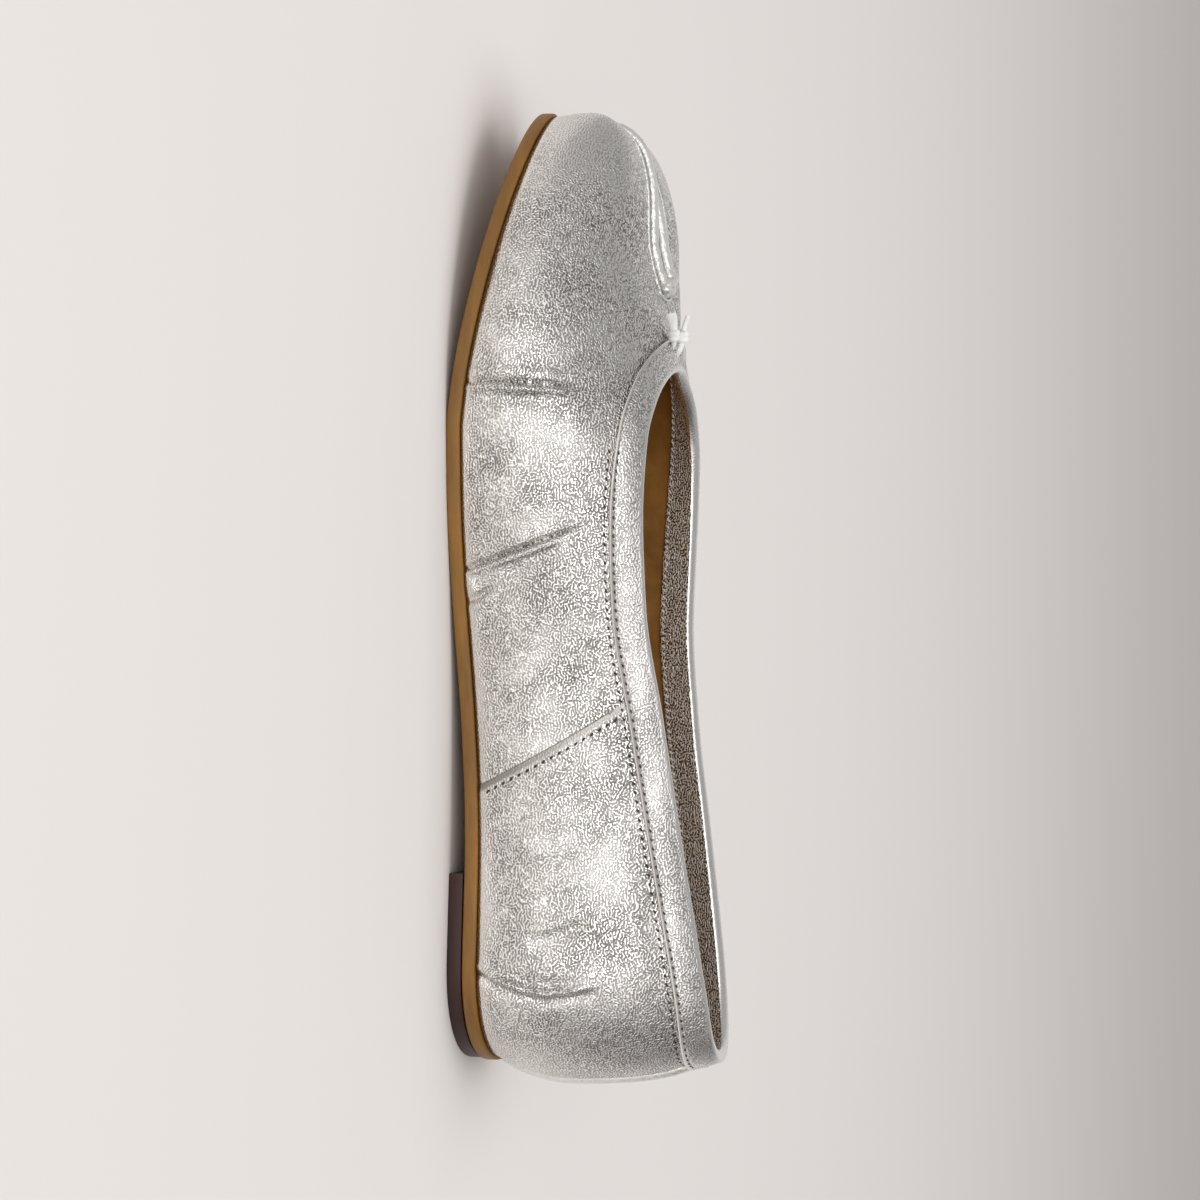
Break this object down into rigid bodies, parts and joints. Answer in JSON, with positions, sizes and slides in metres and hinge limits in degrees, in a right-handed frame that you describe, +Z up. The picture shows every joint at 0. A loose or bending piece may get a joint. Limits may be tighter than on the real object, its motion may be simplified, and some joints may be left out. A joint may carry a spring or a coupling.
{
  "type": "split-toe ballet flat",
  "caption": "Low leather ballet flat with a split toe: a hollow silver upper on a thin tan sole with a low heel, a bound collar and a small drawstring tie at the throat.",
  "frame": {"origin": "on the floor under the middle of the shoe's outline", "axes": "+X towards the toe, +Y towards the outer (lateral) side of the left foot, +Z up"},
  "size_m": [0.2458, 0.0816, 0.0649],
  "materials": {
    "silver_leather": "crackled silver foil on leather",
    "sole_leather": "smooth tan, burnished edge",
    "heel_leather": "dark stacked leather, satin",
    "sock_leather": "matte tan",
    "tie_leather": "pale silver, satin"
  },
  "bodies": {
    "root": {"outsole": "sole_leather", "heel": "heel_leather", "insole": "sock_leather", "upper": "silver_leather", "collar_binding": "silver_leather", "split_welt_lateral": "silver_leather", "split_welt_medial": "silver_leather", "tie_knot": "tie_leather", "tie_end_lateral": "tie_leather", "tie_end_medial": "tie_leather"}
  },
  "joints": []
}
